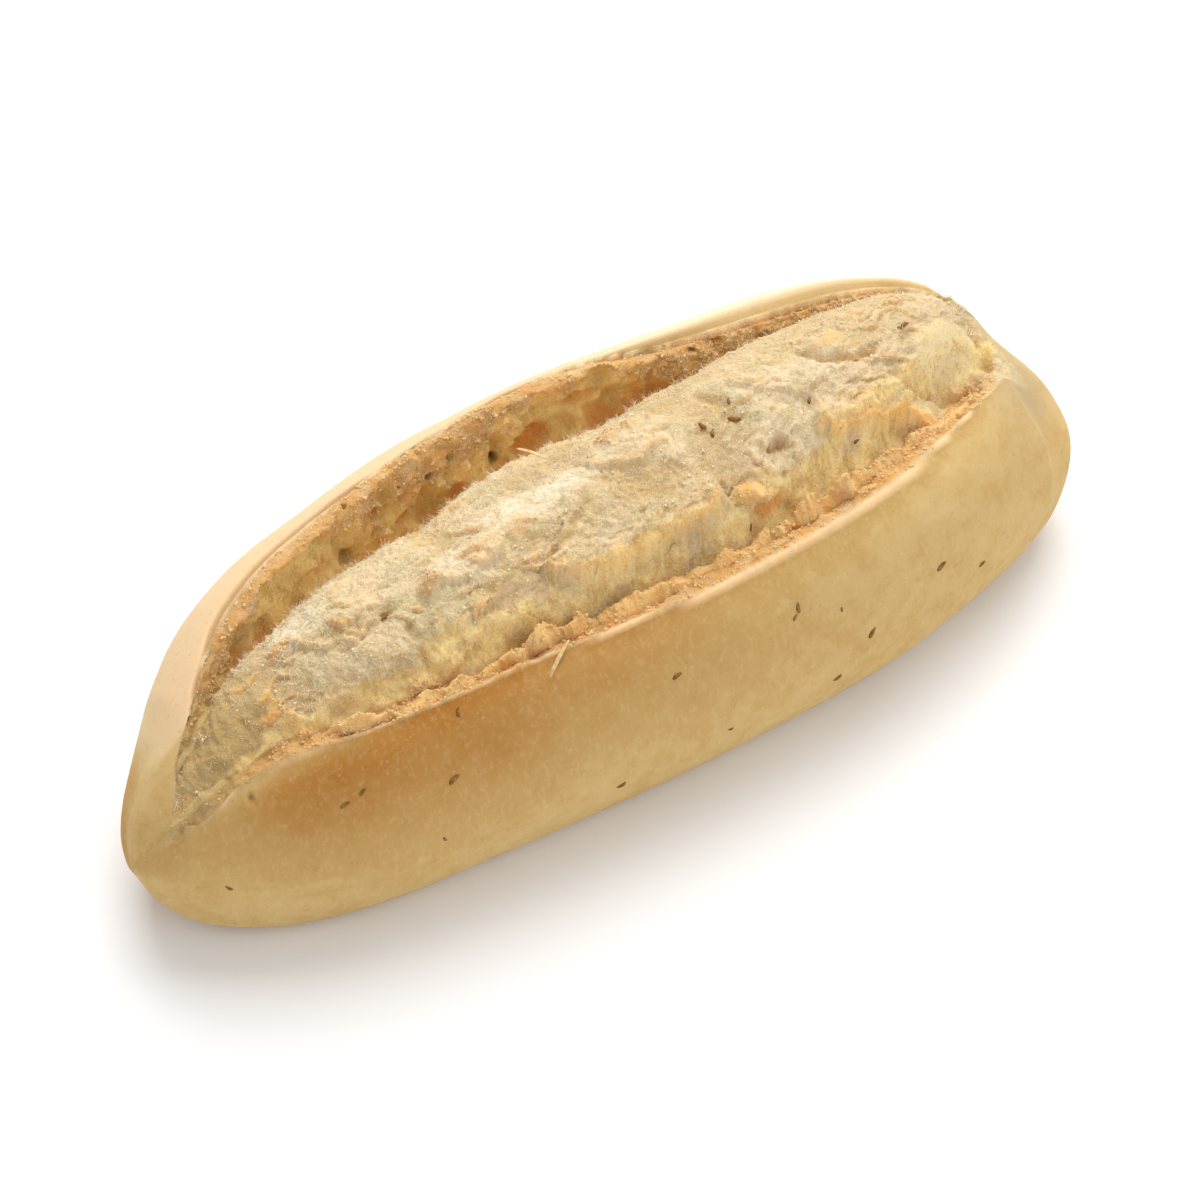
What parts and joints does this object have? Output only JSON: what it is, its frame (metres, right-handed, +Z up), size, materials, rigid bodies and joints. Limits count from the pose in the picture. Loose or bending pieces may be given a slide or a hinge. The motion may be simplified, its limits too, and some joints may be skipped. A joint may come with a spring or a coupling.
{
  "type": "anise bread",
  "caption": "Small oval loaf with a smooth crust, split along the top over a long mound of torn crumb with anise seeds.",
  "frame": {"origin": "on the resting plane under the middle of the loaf", "axes": "+X along the loaf, +Y towards the deep groove behind the mound, +Z up"},
  "size_m": [0.212, 0.0826, 0.0571],
  "materials": {
    "crust": "matte baked crust"
  },
  "bodies": {
    "root": {"loaf": "crust"}
  },
  "joints": []
}
